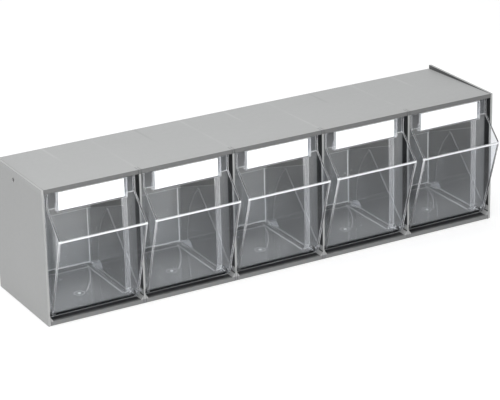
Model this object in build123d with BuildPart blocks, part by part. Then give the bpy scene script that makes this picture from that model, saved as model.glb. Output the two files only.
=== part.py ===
from build123d import *
import math
import os

# Tilt-out bin organizer: one moulded housing with a row of clear bins that tip forward.
# +X runs along the row, +Y goes from the open front to the back, +Z is up.
# The origin is at the middle of the whole object's footprint, on the surface it stands on.

# Housing
bin_count = 5
housing_width = 600.0
housing_depth = 133.0
housing_height = 164.0
end_panel = 3.0
divider = 3.0
back_wall = 2.5
plate = 2.5
plate_inset_at_back = 4.8
rail_height = 5.0
rail_depth = 12.0
bay_corner_radius = 2.0
front_edge_chamfer = 0.4
foot_height = 1.0
foot_length = 7.0
foot_side_inset = 0.4
foot_chamfer = 0.4
foot_end_inset = 1.5
corner_web_width = 3.2
corner_web_height = 5.0
joining_hole_radius = 2.5
joining_hole_back = 75.8
joining_hole_drop = 11.7

# Pivot of every bin, measured from the housing's front plane and from the ground
pivot_back = 8.0
pivot_height = 15.0
pivot_radius = 3.0
pivot_play = 0.05
pivot_reach = 1.3
socket_depth = 1.6
pivot_core_radius = 1.3
pivot_tip_chamfer = 0.4
lead_in_mouth_depth = 0.8
lead_in_end_depth = 0.3
lead_in_side_gap = 0.25
open_angle = 45.0

# Clear bin
bin_wall = 2.0
bin_side_gap = 3.7
ceiling_gap = 0.6
rest_gap = 0.3
face_setback = 3.0
frame_depth = 19.0
step_width = 6.0
mouth_below_top = 25.3
belly_below_mouth = 28.7
belly_reach = 25.0
belly_land = 2.2
front_toe_back = 5.6
front_toe_radius = 6.0
compartment_depth = 96.0
compartment_back_height = 81.0
compartment_front_below_mouth = 22.2
inner_radius = 4.0
upright_radius = 3.0

# Stop that ends the tilt: a lug on the bin meets a rib on the housing
stop_rib_height = 1.6
stop_rib_thickness = 1.6
stop_rib_start = 7.0
stop_lug_length = 11.0
stop_lug_height = 6.0
stop_lug_end_gap = 0.8
stop_lug_from_back = 6.0
stop_arc_gap = 1.0
stop_gap = 0.3
stop_arc_drop = 3.0

# Label holder and its paper label
holder_wall = 1.2
holder_front_setback = 0.4
holder_overhang = 4.2
holder_top_gap = 0.5
holder_hook_height = 9.0
holder_hook_wall = 1.1
holder_seat_gap = 0.3
label_width = 81.0
label_thickness = 0.3
label_top_gap = 0.4
label_side_gap = 1.8

# Places that follow from the sizes
front_y = -(housing_depth - belly_reach) / 2
back_y = front_y + housing_depth
bay_width = (housing_width - 2 * end_panel - (bin_count - 1) * divider) / bin_count
bay_pitch = bay_width + divider
bay_half = bay_width / 2
rail_underside = housing_height - rail_height
rail_top = foot_height + rail_height
pivot_y = front_y + pivot_back
bay_back_y = back_y - back_wall
frame_half = bay_half - bin_side_gap
compartment_half = frame_half - step_width
face_y = front_y + face_setback
frame_back_y = face_y + frame_depth
compartment_back_y = frame_back_y + compartment_depth
outer_radius = inner_radius + bin_wall
mouth_top_height = housing_height - mouth_below_top
belly_height = mouth_top_height - belly_below_mouth
compartment_front_height = mouth_top_height - compartment_front_below_mouth


def plate_shift(y):
    """How far the sloping plates have come in at a place behind the front plane."""
    return plate_inset_at_back * (y - front_y) / housing_depth


def ceiling(y):
    return housing_height - plate - plate_shift(y)


def floor_height(y):
    return foot_height + plate + plate_shift(y)


bin_bottom = floor_height(compartment_back_y) + rest_gap
bin_floor = bin_bottom + bin_wall
frame_top_radius = rail_underside - ceiling_gap - pivot_height


def frame_top(y):
    """Top of the bin's frame: an arc about the pivot that passes under the rail."""
    return pivot_height + math.sqrt(frame_top_radius**2 - (y - pivot_y) ** 2)


def bay_centre(index):
    return (index - (bin_count - 1) / 2) * bay_pitch


# Side outline of the bin's front frame, in depth and height
belly_y = front_y - belly_reach
toe_y = front_y + front_toe_back
frame_outline = [
    (face_y, frame_top(face_y)),
    (face_y, mouth_top_height),
    (belly_y, belly_height),
    (belly_y, belly_height - belly_land),
    (toe_y, bin_bottom),
    (frame_back_y + bin_wall, bin_bottom),
    (frame_back_y + bin_wall, frame_top(frame_back_y + bin_wall)),
]
front_lean = math.atan2(toe_y - belly_y, belly_height - belly_land - bin_bottom)
lean_shift = bin_wall / math.cos(front_lean)
inner_toe_y = toe_y + lean_shift - bin_wall * math.tan(front_lean)
clear_above = 2 * housing_height

# Stop geometry: the lug turns about the pivot inside the arc of the rib
lug_back_y = compartment_back_y - stop_lug_from_back
lug_front_y = lug_back_y - stop_lug_length
lug_bottom = pivot_height - stop_lug_height
lug_outer_radius = math.hypot(lug_back_y - pivot_y, stop_lug_height)
stop_arc_radius = lug_outer_radius + stop_arc_gap

# Label holder, clipped over the lower edge of the bin's face
holder_half = label_width / 2 + label_side_gap + holder_wall
holder_front_y = front_y + holder_front_setback
holder_bottom = mouth_top_height - holder_overhang
holder_top = frame_top(face_y) - holder_top_gap
holder_floor = holder_bottom + holder_wall
hook_front_y = face_y + bin_wall + holder_seat_gap


# One bay of the housing, as the space that is cut away
with BuildPart() as bay_space:
    with BuildSketch(Plane.YZ):
        with BuildLine():
            Polyline(
                (front_y - 1, rail_top),
                (front_y + rail_depth, rail_top),
                (front_y + rail_depth, floor_height(front_y + rail_depth)),
                (bay_back_y, floor_height(bay_back_y)),
                (bay_back_y, ceiling(bay_back_y)),
                (front_y + rail_depth, ceiling(front_y + rail_depth)),
                (front_y + rail_depth, rail_underside),
                (front_y - 1, rail_underside),
                close=True,
            )
        make_face()
    extrude(amount=bay_half, both=True)
    fillet(bay_space.faces().sort_by(Axis.Y)[-1].edges(), radius=bay_corner_radius)

# Round sockets for the two pivots of a bin, with a tapered lead-in from the front edge
with BuildPart() as pivot_sockets:
    with BuildSketch(Plane.YZ):
        with Locations((pivot_y, pivot_height)):
            Circle(pivot_radius + pivot_play)
    extrude(amount=bay_half + socket_depth, both=True)
    with BuildSketch(Plane.XY.offset(pivot_height)):
        with BuildLine():
            Polyline(
                (bay_half - 1, front_y - 1),
                (bay_half + lead_in_mouth_depth, front_y - 1),
                (bay_half + lead_in_mouth_depth, front_y),
                (bay_half + lead_in_end_depth, pivot_y),
                (bay_half - 1, pivot_y),
                close=True,
            )
        make_face()
        mirror(about=Plane.YZ)
    extrude(amount=pivot_radius + lead_in_side_gap, both=True)

# Stop ribs on both walls of a bay: a straight rib at the tilt limit and the arc below it
with BuildPart() as bay_ribs:
    for side in (-1, 1):
        wall_x = side * bay_half
        turn = math.radians(open_angle)
        radial = Plane(
            origin=(wall_x, pivot_y, pivot_height),
            x_dir=(0, math.cos(turn), math.sin(turn)),
            z_dir=(1, 0, 0),
        )
        with BuildSketch(radial):
            with Locations((stop_rib_start, stop_gap)):
                Rectangle(
                    stop_arc_radius - stop_rib_start,
                    stop_rib_thickness,
                    align=(Align.MIN, Align.MIN),
                )
        extrude(amount=-side * stop_rib_height)
        with BuildSketch(Plane.YZ.offset(wall_x)):
            with BuildLine():
                sweep_angle = open_angle + stop_arc_drop
                inner = CenterArc((pivot_y, pivot_height), stop_arc_radius, -stop_arc_drop, sweep_angle)
                outer = CenterArc(
                    (pivot_y, pivot_height),
                    stop_arc_radius + stop_rib_thickness,
                    -stop_arc_drop,
                    sweep_angle,
                )
                Line(inner @ 0, outer @ 0)
                Line(inner @ 1, outer @ 1)
            make_face()
        extrude(amount=-side * stop_rib_height)
        # small web where the rail meets the wall
        with BuildSketch(Plane.XZ.offset(-front_y)):
            with BuildLine():
                Polyline(
                    (wall_x, rail_top),
                    (wall_x - side * corner_web_width, rail_top),
                    (wall_x, rail_top + corner_web_height),
                    close=True,
                )
            make_face()
        extrude(amount=-rail_depth)

# Housing: sloping top and bottom plates, rails, dividers and back in one moulding
with BuildPart() as housing:
    with BuildSketch(Plane.YZ) as plates:
        with BuildLine():
            Polyline(
                (front_y, foot_height),
                (front_y, housing_height),
                (back_y, housing_height - plate_inset_at_back),
                (back_y, foot_height + plate_inset_at_back),
                close=True,
            )
        make_face()
        chamfer(plates.vertices().group_by(Axis.X)[0], length=front_edge_chamfer)
    extrude(amount=housing_width / 2 - end_panel, both=True)
    for side in (-1, 1):
        with BuildSketch(Plane.YZ.offset(side * housing_width / 2)) as panel:
            with BuildLine():
                Polyline(
                    (front_y, foot_height),
                    (front_y, housing_height),
                    (back_y, housing_height),
                    (back_y, foot_height),
                    close=True,
                )
            make_face()
            chamfer(panel.vertices(), length=front_edge_chamfer)
        extrude(amount=-side * end_panel)
    # four feet under the ends of the side panels
    foot_width = end_panel - 2 * foot_side_inset
    foot_x = (housing_width - end_panel) / 2
    with BuildSketch(Plane.XY.offset(foot_height)):
        with Locations((0, (front_y + back_y) / 2)):
            with GridLocations(2 * foot_x, housing_depth - 2 * foot_end_inset - foot_length, 2, 2):
                Rectangle(foot_width, foot_length)
    extrude(amount=-foot_height)
    chamfer(housing.faces().group_by(Axis.Z)[0].edges(), length=foot_chamfer)
    with GridLocations(bay_pitch, 0, bin_count, 1):
        add(bay_space.part, mode=Mode.SUBTRACT)
    with GridLocations(bay_pitch, 0, bin_count, 1):
        add(bay_ribs.part)
    with GridLocations(bay_pitch, 0, bin_count, 1):
        add(pivot_sockets.part, mode=Mode.SUBTRACT)
    # hole near the top of each side panel, for joining a neighbouring unit
    for side in (-1, 1):
        with BuildSketch(Plane.YZ.offset(side * housing_width / 2)):
            with Locations((front_y + joining_hole_back, housing_height - joining_hole_drop)):
                Circle(joining_hole_radius)
        extrude(amount=-side * end_panel, mode=Mode.SUBTRACT)

# Inside of a bin: the wide front frame and the narrower compartment behind it
with BuildPart() as frame_inside:
    with BuildSketch(Plane.YZ):
        with BuildLine():
            Polyline(
                (face_y + bin_wall, clear_above),
                (face_y + bin_wall, mouth_top_height),
                (belly_y - 1, mouth_top_height),
                (belly_y - 1, belly_height),
                (belly_y + lean_shift, belly_height),
                (belly_y + lean_shift, belly_height - belly_land),
                (inner_toe_y, bin_floor),
                (frame_back_y, bin_floor),
                (frame_back_y, clear_above),
                close=True,
            )
        make_face()
    extrude(amount=frame_half - bin_wall, both=True)
    toe_edge = frame_inside.edges().filter_by(Axis.X).group_by(Axis.Z)[0].sort_by(Axis.Y)[0]
    floor_sides = frame_inside.edges().filter_by(Axis.Y).group_by(Axis.Z)[0]
    fillet([toe_edge] + list(floor_sides), radius=front_toe_radius)

with BuildPart() as compartment_inside:
    with BuildSketch(Plane.YZ):
        with BuildLine():
            Polyline(
                (frame_back_y - bin_wall, bin_floor),
                (frame_back_y - bin_wall, clear_above),
                (compartment_back_y - bin_wall, clear_above),
                (compartment_back_y - bin_wall, bin_floor),
                close=True,
            )
        make_face()
    extrude(amount=compartment_half - bin_wall, both=True)
    floor_rim = compartment_inside.faces().sort_by(Axis.Z)[0].edges()
    fillet(floor_rim - floor_rim.filter_by(Axis.X).sort_by(Axis.Y)[:1], radius=inner_radius)

with BuildPart() as compartment_outside:
    with BuildSketch(Plane.YZ):
        with BuildLine():
            Polyline(
                (frame_back_y, bin_bottom),
                (frame_back_y, compartment_front_height),
                (compartment_back_y, compartment_back_height),
                (compartment_back_y, bin_bottom),
                close=True,
            )
        make_face()
    extrude(amount=compartment_half, both=True)
    upright_edges = compartment_outside.edges().filter_by(Axis.Z).group_by(Axis.Y)[-1]
    fillet(upright_edges, radius=upright_radius)
    floor_rim = compartment_outside.faces().sort_by(Axis.Z)[0].edges()
    fillet(floor_rim - floor_rim.filter_by(Axis.X).sort_by(Axis.Y)[:1], radius=outer_radius)

with BuildPart() as bin_shape:
    with BuildSketch(Plane.YZ) as outline:
        with BuildLine():
            Polyline(*frame_outline)
            RadiusArc(frame_outline[-1], frame_outline[0], -frame_top_radius)
        make_face()
        toe = outline.vertices().group_by(Axis.Y)[0].sort_by(Axis.X)[0]
        fillet(toe, radius=front_toe_radius + bin_wall)
    extrude(amount=frame_half, both=True)
    add(compartment_outside.part)
    add(frame_inside.part, mode=Mode.SUBTRACT)
    add(compartment_inside.part, mode=Mode.SUBTRACT)
    for side in (-1, 1):
        # pivot pin with a bevelled tip, cored from the inside
        with BuildSketch(Plane.YZ.offset(side * frame_half)):
            with Locations((pivot_y, pivot_height)):
                Circle(pivot_radius)
        extrude(amount=side * (bin_side_gap + pivot_reach))
        tip = bin_shape.faces().sort_by(Axis.X)[-1 if side > 0 else 0]
        chamfer(tip.edges(), length=pivot_tip_chamfer)
        with BuildSketch(Plane.YZ.offset(side * (frame_half - bin_wall))):
            with Locations((pivot_y, pivot_height)):
                Circle(pivot_core_radius)
        extrude(amount=side * (bin_wall + bin_side_gap - pivot_tip_chamfer), mode=Mode.SUBTRACT)
        # stop lug low on the compartment's side, near its back
        with BuildSketch(Plane.YZ.offset(side * (compartment_half - bin_wall / 2))):
            with BuildLine():
                Polyline(
                    (lug_front_y, lug_bottom),
                    (lug_front_y + stop_lug_height, pivot_height),
                    (lug_back_y, pivot_height),
                    (lug_back_y, lug_bottom),
                    close=True,
                )
            make_face()
        extrude(amount=side * (bin_wall / 2 + step_width + bin_side_gap - stop_lug_end_gap))

# Label holder: a clear window with closed ends and a hook behind the bin's face
with BuildPart() as holder_shape:
    with BuildSketch(Plane.YZ):
        with BuildLine():
            Polyline(
                (holder_front_y, holder_bottom),
                (holder_front_y, holder_top),
                (holder_front_y + holder_wall, holder_top),
                (holder_front_y + holder_wall, holder_floor),
                (hook_front_y, holder_floor),
                (hook_front_y, holder_bottom + holder_hook_height),
                (hook_front_y + holder_hook_wall, holder_bottom + holder_hook_height),
                (hook_front_y + holder_hook_wall, holder_bottom),
                close=True,
            )
        make_face()
    extrude(amount=holder_half, both=True)
    for side in (-1, 1):
        with BuildSketch(Plane.YZ.offset(side * holder_half)):
            with BuildLine():
                Polyline(
                    (holder_front_y + holder_wall, holder_bottom),
                    (holder_front_y + holder_wall, holder_top),
                    (face_y, holder_top),
                    (face_y, holder_bottom),
                    close=True,
                )
            make_face()
        extrude(amount=-side * holder_wall)

label_bottom = holder_floor
label_top = holder_top - label_top_gap

os.makedirs("parts", exist_ok=True)
housing.part.label = "housing"
export_step(housing.part, "parts/housing.step")

for index in range(bin_count):
    centre_x = bay_centre(index)
    number = index + 1

    with BuildPart() as tilt_bin:
        with Locations((centre_x, 0, 0)):
            add(bin_shape.part)
    tilt_bin.part.label = f"tilt_bin_{number}"
    export_step(tilt_bin.part, f"parts/tilt_bin_{number}.step")

    with BuildPart() as label_holder:
        with Locations((centre_x, 0, 0)):
            add(holder_shape.part)
    label_holder.part.label = f"label_holder_{number}"
    export_step(label_holder.part, f"parts/label_holder_{number}.step")

    with BuildPart() as paper_label:
        with BuildSketch(Plane.YZ.offset(centre_x)):
            with BuildLine():
                Polyline(
                    (face_y - label_thickness, label_bottom),
                    (face_y - label_thickness, label_top),
                    (face_y, label_top),
                    (face_y, label_bottom),
                    close=True,
                )
            make_face()
        extrude(amount=label_width / 2, both=True)
    paper_label.part.label = f"paper_label_{number}"
    export_step(paper_label.part, f"parts/paper_label_{number}.step")
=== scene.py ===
import math

import bmesh
import bpy
from mathutils import Matrix, Vector


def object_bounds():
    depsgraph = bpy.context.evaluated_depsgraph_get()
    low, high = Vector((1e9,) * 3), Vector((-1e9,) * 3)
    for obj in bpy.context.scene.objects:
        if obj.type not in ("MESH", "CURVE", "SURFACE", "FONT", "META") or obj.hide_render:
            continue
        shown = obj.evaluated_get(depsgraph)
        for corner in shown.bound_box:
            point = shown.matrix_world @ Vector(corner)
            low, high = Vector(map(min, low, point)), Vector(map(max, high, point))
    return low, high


# Frame in metres: +X runs along the row, +Y to the back, +Z up, and the origin is under the middle.
MM = 0.001
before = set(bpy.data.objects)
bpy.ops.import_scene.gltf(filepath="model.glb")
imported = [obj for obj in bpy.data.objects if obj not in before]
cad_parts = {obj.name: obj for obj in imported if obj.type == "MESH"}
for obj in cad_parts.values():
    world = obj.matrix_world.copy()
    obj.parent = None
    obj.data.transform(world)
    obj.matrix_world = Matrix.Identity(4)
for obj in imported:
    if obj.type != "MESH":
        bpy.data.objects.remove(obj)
cad_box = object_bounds()

# Housing, in millimetres. A half width is measured from the middle of the row, or of its bay.
BIN_COUNT = 5
END_PANEL = 3.0
DIVIDER = 3.0
PLATE_INSET_AT_BACK = 4.8
RAIL_HEIGHT = 5.0
RAIL_DEPTH = 12.0
FOOT_HEIGHT = 1.0
HOUSING_TOP = cad_box[1][2] / MM
PANEL_INSIDE_HALF = cad_box[1][0] / MM - END_PANEL
BAY_PITCH = (2 * PANEL_INSIDE_HALF + DIVIDER) / BIN_COUNT
BAY_HALF = (BAY_PITCH - DIVIDER) / 2
TOP_AT_BACK = HOUSING_TOP - PLATE_INSET_AT_BACK
TOP_RAIL_UNDERSIDE = HOUSING_TOP - RAIL_HEIGHT
BOTTOM_RAIL_TOP = FOOT_HEIGHT + RAIL_HEIGHT

# Clear bin, in millimetres
BIN_WALL = 2.0
BIN_SIDE_GAP = 3.7
BELLY_REACH = 25.0
BELLY_HEIGHT = 110.0
BELLY_LAND = 2.2
TOE_SETBACK = 5.6
TOE_TOP = 13.0
FRAME_BACK_SETBACK = 22.0
STEP_WIDTH = 6.0
COMPARTMENT_DEPTH = 96.0
INNER_RADIUS = 4.0
BIN_FLOOR = 10.1
BELLY_Y = cad_box[0][1] / MM
FRONT_Y = BELLY_Y + BELLY_REACH
RAIL_BACK_Y = FRONT_Y + RAIL_DEPTH
TOE_Y = FRONT_Y + TOE_SETBACK
STEP_Y = FRONT_Y + FRAME_BACK_SETBACK + BIN_WALL / 2
INSIDE_BACK_Y = FRONT_Y + FRAME_BACK_SETBACK + COMPARTMENT_DEPTH - BIN_WALL
FRAME_INSIDE_HALF = BAY_HALF - BIN_SIDE_GAP - BIN_WALL
INSIDE_HALF = FRAME_INSIDE_HALF - STEP_WIDTH
BIN_BOTTOM = BIN_FLOOR - BIN_WALL
FRONT_LEAN = math.atan2(TOE_Y - BELLY_Y, BELLY_HEIGHT - BELLY_LAND - BIN_BOTTOM)


class Shade:
    """A material's node tree, with short calls to add and join nodes.

    A mask is one at its place and nothing elsewhere.
    """

    def __init__(self, name):
        self.material = bpy.data.materials.new(name)
        self.material.use_nodes = True
        self.tree = self.material.node_tree
        self.tree.nodes.clear()
        self.output = self.tree.nodes.new("ShaderNodeOutputMaterial")
        self.shader = self.tree.nodes.new("ShaderNodeBsdfPrincipled")
        self.join(self.shader.outputs["BSDF"], self.output.inputs["Surface"])
        self.object_coords = self.tree.nodes.new("ShaderNodeTexCoord").outputs["Object"]

    def node(self, kind, **settings):
        made = self.tree.nodes.new(kind)
        for name, value in settings.items():
            setattr(made, name, value)
        return made

    def join(self, source, target):
        self.tree.links.new(source, target)

    def set(self, **values):
        """Give the shader plain values."""
        for name, value in values.items():
            self.shader.inputs[name.replace("_", " ")].default_value = value

    def to(self, **sources):
        """Join node outputs to the shader."""
        for name, source in sources.items():
            self.join(source, self.shader.inputs[name.replace("_", " ")])

    def calc(self, operation, first, second=0.0):
        made = self.node("ShaderNodeMath", operation=operation)
        for socket, value in zip(made.inputs, (first, second)):
            if isinstance(value, (int, float)):
                socket.default_value = value
            else:
                self.join(value, socket)
        return made.outputs[0]

    def fold(self, operation, values):
        result, *others = values
        for value in others:
            result = self.calc(operation, result, value)
        return result

    def times(self, *masks):
        return self.fold("MULTIPLY", masks)

    def most(self, *masks):
        return self.fold("MAXIMUM", masks)

    def total(self, *values):
        return self.fold("ADD", values)

    def unsigned(self, value):
        return self.calc("ABSOLUTE", value)

    def ramp(self, factor, low, high, from_low=0.0, from_high=1.0):
        made = self.node("ShaderNodeMapRange")
        made.inputs["From Min"].default_value = from_low
        made.inputs["From Max"].default_value = from_high
        made.inputs["To Min"].default_value = low
        made.inputs["To Max"].default_value = high
        self.join(factor, made.inputs["Value"])
        return made.outputs[0]

    def above(self, value, edge, soft=0.4):
        """One above the edge, fading to nothing over soft below it."""
        return self.ramp(value, 0.0, 1.0, edge - soft, edge)

    def below(self, value, edge, soft=0.4):
        """One below the edge, fading to nothing over soft above it."""
        return self.ramp(value, 1.0, 0.0, edge, edge + soft)

    def near(self, value, centre, half, soft=0.4):
        """One within half of the centre, fading to nothing over soft."""
        return self.below(self.unsigned(self.calc("SUBTRACT", value, centre)), half, soft)

    def axes(self):
        """Places along x, y and z, in millimetres."""
        made = self.node("ShaderNodeSeparateXYZ")
        self.join(self.object_coords, made.inputs[0])
        return [self.calc("MULTIPLY", axis, 1 / MM) for axis in made.outputs]

    def from_bay_middle(self, x):
        """The place along x, measured from the middle of its bay."""
        made = self.node("ShaderNodeMath", operation="WRAP")
        self.join(x, made.inputs[0])
        made.inputs[1].default_value = BAY_PITCH / 2
        made.inputs[2].default_value = -BAY_PITCH / 2
        return made.outputs[0]

    def away_from(self, x, y, centre):
        """Distance in plan from a point."""
        dx = self.calc("SUBTRACT", x, centre[0])
        dy = self.calc("SUBTRACT", y, centre[1])
        return self.calc("SQRT", self.total(self.times(dx, dx), self.times(dy, dy)))

    def noise(self, scale, detail=3.0, stretch=(1, 1, 1)):
        place = self.node("ShaderNodeMapping")
        place.inputs["Scale"].default_value = stretch
        self.join(self.object_coords, place.inputs["Vector"])
        made = self.node("ShaderNodeTexNoise")
        made.inputs["Scale"].default_value = scale
        made.inputs["Detail"].default_value = detail
        self.join(place.outputs[0], made.inputs["Vector"])
        return made.outputs["Fac"]

    def tint(self, factor, start, end):
        """A mix of two colours, each of them three numbers or a node output."""
        made = self.node("ShaderNodeMix", data_type="RGBA")
        for name, colour in (("A", start), ("B", end)):
            if isinstance(colour, tuple):
                made.inputs[name].default_value = (*colour, 1)
            else:
                self.join(colour, made.inputs[name])
        self.join(factor, made.inputs["Factor"])
        return made.outputs["Result"]

    def bump(self, height, distance, strength, normal=None):
        made = self.node("ShaderNodeBump")
        made.inputs["Strength"].default_value = strength
        made.inputs["Distance"].default_value = distance
        self.join(height, made.inputs["Height"])
        if normal is not None:
            self.join(normal, made.inputs["Normal"])
        return made.outputs["Normal"]

    def soft_edges(self, radius):
        made = self.node("ShaderNodeBevel", samples=6)
        made.inputs["Radius"].default_value = radius
        return made.outputs["Normal"]

    def on_edges(self, radius, strength):
        """A mask of the edges: there the softened surface leans away from the true one."""
        agreement = self.node("ShaderNodeVectorMath", operation="DOT_PRODUCT")
        self.join(self.soft_edges(radius), agreement.inputs[0])
        self.join(self.node("ShaderNodeNewGeometry").outputs["Normal"], agreement.inputs[1])
        return self.ramp(agreement.outputs["Value"], strength, 0.0, 0.78, 0.985)

    def let_lamps_through(self, colour):
        """Lamps light what lies behind this clear material."""
        clear = self.node("ShaderNodeBsdfTransparent")
        self.join(colour, clear.inputs["Color"])
        mix = self.node("ShaderNodeMixShader")
        self.join(self.node("ShaderNodeLightPath").outputs["Is Shadow Ray"], mix.inputs["Fac"])
        self.join(self.shader.outputs["BSDF"], mix.inputs[1])
        self.join(clear.outputs[0], mix.inputs[2])
        self.join(mix.outputs[0], self.output.inputs["Surface"])


def painted_rail_front_shade(s, x, y, z):
    """Painted shade: the front faces of the top and bottom rails, between the end panels, where the grey is
    darkened.
    """
    front_face = s.below(y, FRONT_Y + 0.3, 0.2)
    top_rail = s.times(front_face, s.above(z, TOP_RAIL_UNDERSIDE))
    bottom_rail = s.times(front_face, s.below(z, BOTTOM_RAIL_TOP + 0.1, 0.1))
    between_panels = s.near(x, 0, PANEL_INSIDE_HALF + 0.1, 0.2)
    return s.times(s.most(top_rail, s.times(bottom_rail, 0.82)), between_panels)


def painted_shade_places(s, x, y, z):
    """Painted shade: the housing under the bins' toes, beside the bins' frames and inside the two raised end
    rims, darkened nearly to black.
    """
    between_panels = s.near(x, 0, PANEL_INSIDE_HALF + 0.1, 0.2)
    rail_top = s.times(
        s.above(y, FRONT_Y + 0.6, 0.1),
        s.below(y, RAIL_BACK_Y + 0.2),
        s.below(z, BOTTOM_RAIL_TOP + 0.1, 0.1),
    )
    deeper_to_back = s.ramp(y, 0.55, 1.0, FRONT_Y + 2, FRONT_Y + 6)
    under_toe = s.times(rail_top, deeper_to_back, between_panels)
    divider_side = s.near(s.unsigned(s.from_bay_middle(x)), BAY_HALF, 0.12)
    beside_frame = s.times(divider_side, s.near(y, FRONT_Y + 4.6, 4, 2.5), between_panels)
    panel_inside = s.near(s.unsigned(x), PANEL_INSIDE_HALF, 0.1)
    rim_inside = s.times(panel_inside, s.above(z, TOP_RAIL_UNDERSIDE - 2))
    return s.most(under_toe, s.times(beside_frame, 0.98), s.times(rim_inside, 0.8))


def housing_material():
    """Grey moulded polystyrene with fine grain and faint flow.

    Its top has sink lines over the dividers and short streaks near the back. Painted shade darkens the fronts
    of its rails and the places in the bins' shade.
    """
    darker_grey = (0.288, 0.291, 0.289)
    lighter_grey = (0.362, 0.365, 0.361)
    # painted shade: the darker grey of the rails' front faces
    rail_front_painted_shade_grey = (0.115, 0.117, 0.116)
    # painted shade: near black under and beside the bins and inside the end rims
    painted_shade_black = (0.016, 0.017, 0.018)
    full_gloss = (1, 1, 1)
    gloss_in_painted_shade = (0.15, 0.15, 0.15)
    s = Shade("housing_plastic")
    s.set(IOR=1.55)
    x, y, z = s.axes()
    offset = s.from_bay_middle(x)
    on_top = s.above(z, TOP_AT_BACK - 0.6, 0.3)
    patches = s.ramp(s.noise(14, detail=2), 0.25, 1.0, 0.4, 0.6)
    sink = s.times(on_top, s.above(s.unsigned(offset), BAY_HALF + 0.7, 1.2), patches)
    light_or_dark = s.calc("COSINE", s.calc("MULTIPLY", x, math.pi / BAY_PITCH))
    streak = s.times(on_top, s.near(offset, 0, 0.6, 1.6), s.above(y, 48, 26), light_or_dark)
    flow = s.ramp(s.noise(9, detail=4, stretch=(1, 1.6, 1.6)), 0.3, 0.6)
    tone = s.total(flow, s.times(sink, 0.45), s.times(streak, 0.5))
    grey = s.tint(tone, darker_grey, lighter_grey)
    # Painted shade darkens the rails' front faces.
    grey_with_painted_rail_shade = s.tint(painted_rail_front_shade(s, x, y, z), grey, rail_front_painted_shade_grey)
    # Painted shade: near black under the bins' toes, beside their frames and inside the end rims; it also
    # dulls the gloss there.
    painted_shade = painted_shade_places(s, x, y, z)
    grain = s.times(s.noise(2600, detail=2), 0.5)
    s.to(
        Base_Color=s.tint(painted_shade, grey_with_painted_rail_shade, painted_shade_black),
        Specular_Tint=s.tint(painted_shade, full_gloss, gloss_in_painted_shade),
        Normal=s.bump(s.calc("SUBTRACT", grain, sink), 0.00006, 0.5, s.soft_edges(0.0004)),
        Roughness=s.ramp(s.noise(180), 0.38, 0.5),
    )
    return s.material


def painted_front_highlights(s, across, y, z):
    """Painted highlights on a bin's front: its lip, the corners of its leaning wall and the step behind them.
    """
    lip = s.times(s.near(y, BELLY_Y + 1.1, 1.3, 0.3), s.near(z, BELLY_HEIGHT - 1, 0.7, 0.3))
    lean_y = math.cos(FRONT_LEAN)
    lean_z = math.sin(FRONT_LEAN)
    outer_face = TOE_Y * lean_y + BIN_BOTTOM * lean_z
    into_wall = s.total(s.times(y, lean_y), s.times(z, lean_z))
    corner = s.times(
        s.above(across, FRAME_INSIDE_HALF + 0.1),
        s.near(into_wall, outer_face + 0.7, 0.5),
        s.ramp(z, 0.05, 0.8, 45, 105),
    )
    step = s.times(s.near(y, STEP_Y, 1.2), s.above(across, INSIDE_HALF + 0.5), s.below(z, 150))
    return s.most(s.times(lip, 0.85), corner, s.times(step, 0.17))


def painted_compartment_highlights(s, across, y, z):
    """Painted highlights in a bin's compartment: its back uprights and the feet of its rounded floor edges.
    """
    on_floor = s.below(z, BIN_FLOOR + 0.5)
    behind_step = s.above(y, STEP_Y)
    uprights = s.times(s.above(across, INSIDE_HALF - 0.3), s.above(y, INSIDE_BACK_Y), s.above(z, 12, 3))
    foot_half = INSIDE_HALF - INNER_RADIUS
    foot_y = INSIDE_BACK_Y - INNER_RADIUS
    foot_z = BIN_FLOOR + INNER_RADIUS
    side_feet = s.most(
        s.times(s.near(across, foot_half, 0.5), on_floor, behind_step),
        s.times(s.near(z, foot_z, 0.5), s.above(across, INSIDE_HALF - 0.5), behind_step),
    )
    back_feet = s.most(
        s.times(s.near(y, foot_y, 0.35), on_floor, s.below(across, foot_half + 0.5)),
        s.times(s.near(z, foot_z, 0.35), s.above(y, INSIDE_BACK_Y - 0.5), s.below(across, INSIDE_HALF + 0.5)),
    )
    return s.most(s.times(uprights, 0.8), s.times(side_feet, 0.66), s.times(back_feet, 0.7))


def moulding_marks(s, offset, y, z):
    """On a bin's floor: a gate mark with its ring, a smaller gate mark and the weld line."""
    gate_place = (0, -5)
    ring_radius = 6
    second_gate_place = (-2, 41)
    weld_centre = (-126.8, 105.4)
    weld_radius = 174.9
    on_floor = s.below(z, BIN_FLOOR + 0.5)
    from_gate = s.away_from(offset, y, gate_place)
    gate = s.most(s.below(from_gate, 1.5, 1.0), s.times(s.near(from_gate, ring_radius, 0.5, 0.8), 0.4))
    second_gate = s.below(s.away_from(offset, y, second_gate_place), 1.8, 1.5)
    on_weld_arc = s.near(s.away_from(offset, y, weld_centre), weld_radius, 0.4)
    weld = s.times(on_weld_arc, s.near(y, 27, 30, 4), s.above(offset, 0))
    return s.times(on_floor, s.most(gate, s.times(second_gate, 0.6), s.times(weld, 0.6)))


def bin_painted_highlights_and_marks(s):
    """Painted highlights of a clear bin besides its edges, on its front, compartment and lug faces, with the
    gate and weld traces of its moulding.
    """
    x, y, z = s.axes()
    offset = s.from_bay_middle(x)
    across = s.unsigned(offset)
    # Painted highlight on the lug faces.
    painted_lug_highlights = s.times(s.above(across, INSIDE_HALF + BIN_WALL + 1.1), s.above(y, 44), s.below(z, 30))
    return s.most(
        painted_front_highlights(s, across, y, z),
        painted_compartment_highlights(s, across, y, z),
        moulding_marks(s, offset, y, z),
        s.times(painted_lug_highlights, 0.6),
    )


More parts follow.
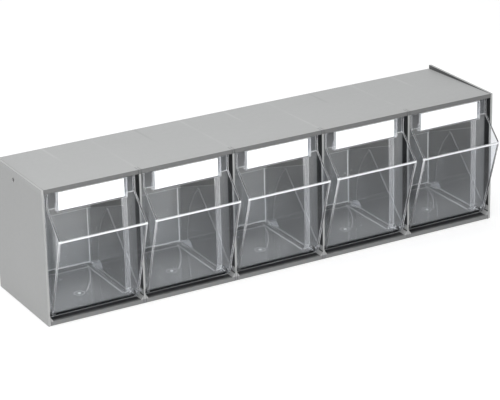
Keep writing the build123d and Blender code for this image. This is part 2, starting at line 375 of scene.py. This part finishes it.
def clear_material(name, haze, highlights_and_marks=None):
    """Crystal-clear moulded polystyrene, and light passes through it. Its edges carry a painted highlight,
    and its toe and front wall a painted shade.
    """
    clear = (0.945, 0.951, 0.958)
    # painted shade: darker clear tints for the front wall and the toe
    clear_with_painted_shade_in_front = (0.86, 0.87, 0.89)
    clear_with_painted_shade_at_toe = (0.5, 0.51, 0.53)
    highlight_and_mark_white = (0.8, 0.805, 0.82)
    gloss_in_front = (0.03, 0.03, 0.03)
    gloss_behind = (0.6, 0.6, 0.6)
    lamps = (0.93, 0.935, 0.94)
    lamps_in_front = (0.76, 0.77, 0.78)
    lamps_at_toe = (0.2, 0.2, 0.2)
    s = Shade(name)
    s.set(IOR=1.59, Specular_IOR_Level=0.25)
    x, y, z = s.axes()
    # Painted highlight along the edges, weaker low at each bay's left front corner.
    left_corner = s.below(s.from_bay_middle(x), 2.5 - FRAME_INSIDE_HALF)
    low_left_corner = s.times(left_corner, s.below(y, FRONT_Y + 8), s.below(z, 30, 60))
    highlights_and_marks_mask = s.times(s.on_edges(0.0014, 0.9), s.ramp(low_left_corner, 1.0, 0.35))
    # Painted highlights and the moulding's gate and weld traces join the edge highlight.
    if highlights_and_marks:
        highlights_and_marks_mask = s.most(highlights_and_marks_mask, highlights_and_marks(s))
    # Painted shade: the clear tint is darker at the toe and towards the front wall.
    toe = s.times(s.below(y, RAIL_BACK_Y, 2), s.below(z, TOE_TOP, 3))
    front_wall = s.times(s.below(y, FRONT_Y + 8, 2), s.below(z, BELLY_HEIGHT - 3, 0.5))
    wall = s.tint(s.below(y, FRONT_Y + 6, 8), clear, clear_with_painted_shade_in_front)
    s.to(
        Base_Color=s.tint(highlights_and_marks_mask, s.tint(toe, wall, clear_with_painted_shade_at_toe), highlight_and_mark_white),
        Specular_Tint=s.tint(s.above(y, FRONT_Y + 18, 12), gloss_in_front, gloss_behind),
        Normal=s.bump(s.noise(45, detail=2), 0.0002, 0.35, s.soft_edges(0.0004)),
        Transmission_Weight=s.ramp(highlights_and_marks_mask, 1.0, 0.0),
        Roughness=s.ramp(highlights_and_marks_mask, haze, 0.4),
    )
    s.let_lamps_through(s.tint(toe, s.tint(front_wall, lamps, lamps_in_front), lamps_at_toe))
    return s.material


def paper_material():
    """White paper with fine fibres. It glows a little as painted light, so it stays bright."""
    s = Shade("paper")
    # Painted light: a faint glow on the paper.
    s.set(Roughness=0.8, Emission_Color=(1, 1, 1, 1), Emission_Strength=0.22)
    fibre = s.noise(900, detail=4, stretch=(1, 1, 2.2))
    s.to(
        Base_Color=s.tint(fibre, (0.9, 0.9, 0.89), (0.95, 0.95, 0.94)),
        Normal=s.bump(fibre, 0.00005, 0.4),
    )
    return s.material


def floor_material():
    """Pale and dull, with the faintest change of tone. It glows a little, so its shadow stays soft."""
    s = Shade("floor")
    s.set(Roughness=0.9, Emission_Color=(1, 1, 1, 1), Emission_Strength=0.68)
    s.to(Base_Color=s.tint(s.noise(3), (0.34, 0.34, 0.34), (0.35, 0.35, 0.35)))
    return s.material


def finish_with(node, material):
    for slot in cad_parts[node].material_slots:
        slot.link = "OBJECT"
        slot.material = material


def finish_nodes():
    finish_with("housing", housing_material())
    clear_plastic = clear_material("clear_plastic", haze=0.02, highlights_and_marks=bin_painted_highlights_and_marks)
    holder_plastic = clear_material("holder_plastic", haze=0.05)
    paper = paper_material()
    for number in range(1, BIN_COUNT + 1):
        finish_with(f"tilt_bin_{number}", clear_plastic)
        finish_with(f"label_holder_{number}", holder_plastic)
        finish_with(f"paper_label_{number}", paper)


def new_object(name, data):
    made = bpy.data.objects.new(name, data)
    bpy.context.scene.collection.objects.link(made)
    return made


def make_floor():
    """A pale floor that curves up far behind. Its sizes are in metres."""
    half_width = 8.0
    front_y = -6.0
    curve_start_y = 3.0
    curve_radius = 2.0
    curve_steps = 8
    top = 4.0
    profile = [(front_y, 0)]
    for step in range(curve_steps + 1):
        turn = math.radians(90 * step / curve_steps)
        y = curve_start_y + curve_radius * math.sin(turn)
        profile.append((y, curve_radius * (1 - math.cos(turn))))
    profile.append((curve_start_y + curve_radius, top))
    mesh = bmesh.new()
    rows = [[mesh.verts.new((x, y, z)) for x in (-half_width, half_width)] for y, z in profile]
    for low, high in zip(rows, rows[1:]):
        mesh.faces.new((low[0], low[1], high[1], high[0])).smooth = True
    data = bpy.data.meshes.new("floor")
    mesh.to_mesh(data)
    mesh.free()
    data.materials.append(floor_material())
    floor = new_object("floor", data)


def soft_light(name, place, aim, size, power):
    data = bpy.data.lights.new(name, "AREA")
    data.shape = "RECTANGLE"
    data.size, data.size_y = size
    data.energy = power
    lamp = new_object(name, data)
    lamp.location = place
    lamp.rotation_mode = "QUATERNION"
    lamp.rotation_quaternion = (Vector(aim) - Vector(place)).to_track_quat("-Z", "Y")


def make_lights():
    """Four soft lamps, in metres and watts, and a faint sky."""
    soft_light("overhead", place=(-0.3, 0.5, 2.2), aim=(0, 0, 0.1), size=(2.4, 1.8), power=38)
    soft_light("left", place=(-2.4, 0.1, 0.9), aim=(0, 0, 0.1), size=(1.6, 1.2), power=4.2)
    soft_light("front_left", place=(-0.5, -1.2, 0.5), aim=(0, 0, 0.09), size=(0.8, 0.5), power=9.8)
    soft_light("front_top", place=(-0.2, -0.9, 1.5), aim=(0, 0, 0.05), size=(0.8, 0.6), power=9)
    world = bpy.data.worlds.new("studio")
    world.use_nodes = True
    sky = world.node_tree.nodes["Background"]
    sky.inputs["Color"].default_value = (0.93, 0.96, 1, 1)
    sky.inputs["Strength"].default_value = 0.25
    bpy.context.scene.world = world
    bpy.context.scene.view_settings.view_transform = "Standard"


def make_camera():
    """The photo's view: from the left, in front and above, with a slight roll."""
    azimuth = math.radians(-29.236)
    elevation = math.radians(21.666)
    roll = math.radians(-1.2)
    aim = Vector((-0.0024, 0.012, 0.0676))
    distance = 2.6915
    back = Vector(
        (
            math.sin(azimuth) * math.cos(elevation),
            -math.cos(azimuth) * math.cos(elevation),
            math.sin(elevation),
        )
    )
    level = Vector((math.cos(azimuth), math.sin(azimuth), 0))
    right = Matrix.Rotation(roll, 3, back) @ level
    up = back.cross(right)
    data = bpy.data.cameras.new("camera")
    data.lens = 163.0
    camera = new_object("camera", data)
    turn = Matrix((right, up, back)).transposed()
    camera.matrix_world = Matrix.LocRotScale(aim + back * distance, turn, None)
    bpy.context.scene.camera = camera


finish_nodes()
make_floor()
make_lights()
make_camera()
